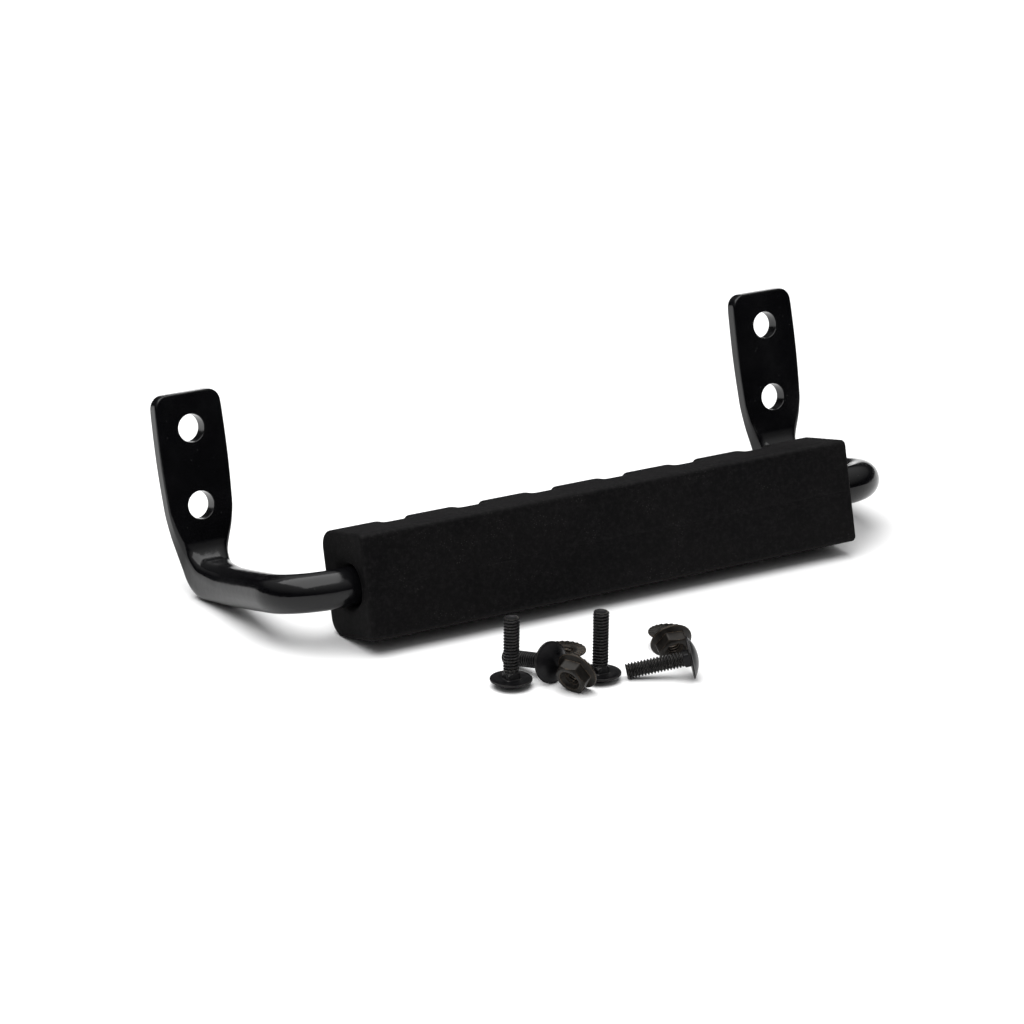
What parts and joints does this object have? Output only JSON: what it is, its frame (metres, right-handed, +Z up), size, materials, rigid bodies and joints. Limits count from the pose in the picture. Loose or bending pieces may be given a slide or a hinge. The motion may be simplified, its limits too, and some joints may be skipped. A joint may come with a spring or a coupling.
{
  "type": "grab handle",
  "caption": "U-shaped bolt-on grab handle: a round bar with pressed mounting tabs and a finger-grooved rubber grip, lying with its loose bolts and nuts.",
  "frame": {"origin": "on the table, under the middle of the bounding box of the handle and its loose fasteners", "axes": "+X along the grip, to the right as one faces the grip's front; +Y from the grip to the mounting tabs; +Z up from the table"},
  "size_m": [0.3114, 0.2025, 0.0819],
  "materials": {
    "gloss_black_steel": "gloss",
    "black_rubber": "matte",
    "black_oxide_bolt": "satin",
    "dark_oxide_nut": "satin"
  },
  "bodies": {
    "handle": {"handle_bar": "gloss_black_steel", "hand_grip": "black_rubber"},
    "bolt_1": {"carriage_bolt_1": "black_oxide_bolt"},
    "bolt_2": {"carriage_bolt_2": "black_oxide_bolt"},
    "bolt_3": {"carriage_bolt_3": "black_oxide_bolt"},
    "bolt_4": {"carriage_bolt_4": "black_oxide_bolt"},
    "nut_1": {"flange_nut_1": "dark_oxide_nut"},
    "nut_2": {"flange_nut_2": "dark_oxide_nut"},
    "nut_3": {"flange_nut_3": "dark_oxide_nut"},
    "nut_4": {"flange_nut_4": "dark_oxide_nut"}
  },
  "joints": [
    {"name": "bolt_1_lift", "type": "slide", "parent": "handle", "child": "bolt_1", "axis": [0, 0, 1], "range_m": [0, 0.125]},
    {"name": "bolt_2_lift", "type": "slide", "parent": "handle", "child": "bolt_2", "axis": [0, 0, 1], "range_m": [0, 0.125]},
    {"name": "bolt_3_lift", "type": "slide", "parent": "handle", "child": "bolt_3", "axis": [0, 0, 1], "range_m": [0, 0.125]},
    {"name": "bolt_4_lift", "type": "slide", "parent": "handle", "child": "bolt_4", "axis": [0, 0, 1], "range_m": [0, 0.125]},
    {"name": "nut_1_lift", "type": "slide", "parent": "handle", "child": "nut_1", "axis": [0, 0, 1], "range_m": [0, 0.125]},
    {"name": "nut_2_lift", "type": "slide", "parent": "handle", "child": "nut_2", "axis": [0, 0, 1], "range_m": [0, 0.125]},
    {"name": "nut_3_lift", "type": "slide", "parent": "handle", "child": "nut_3", "axis": [0, 0, 1], "range_m": [0, 0.125]},
    {"name": "nut_4_lift", "type": "slide", "parent": "handle", "child": "nut_4", "axis": [0, 0, 1], "range_m": [0, 0.125]}
  ]
}
